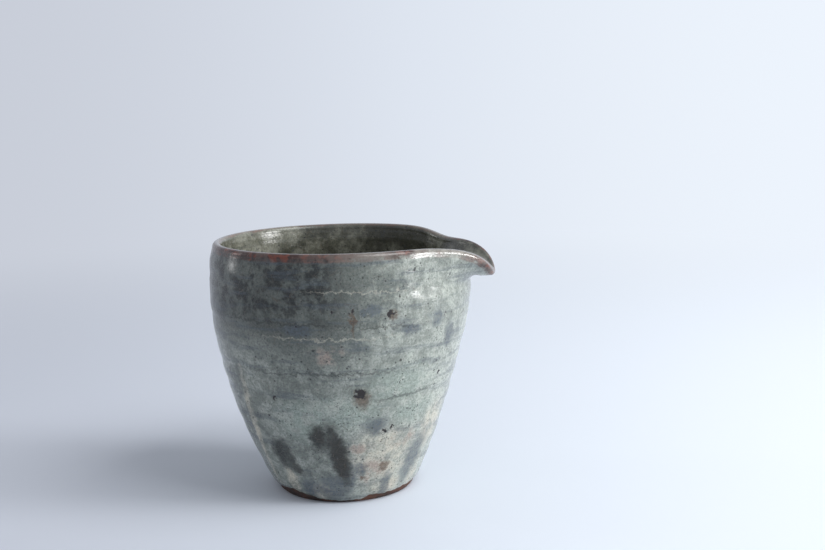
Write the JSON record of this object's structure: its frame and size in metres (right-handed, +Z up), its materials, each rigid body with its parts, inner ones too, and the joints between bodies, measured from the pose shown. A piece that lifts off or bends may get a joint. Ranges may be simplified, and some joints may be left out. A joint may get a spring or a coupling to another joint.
{
  "type": "spouted pouring bowl",
  "caption": "Wheel-thrown stoneware pouring bowl with a pulled spout, white slip and speckled ash glaze inside and out.",
  "frame": {"origin": "middle of the footprint on the table, spout included", "axes": "+Z up, +X along the spout from the throwing axis, +Y to the left of the spout"},
  "size_m": [0.1016, 0.0926, 0.0899],
  "materials": {
    "stoneware": "bare fired clay, matt",
    "slip": "white slip under the glaze",
    "outer_glaze": "glossy speckled ash glaze",
    "inner_glaze": "glossy speckled ash glaze"
  },
  "bodies": {
    "root": {"stoneware_body": "stoneware", "outer_slip": "slip", "inner_slip": "slip", "outer_glaze": "outer_glaze", "inner_glaze": "inner_glaze"}
  },
  "joints": []
}
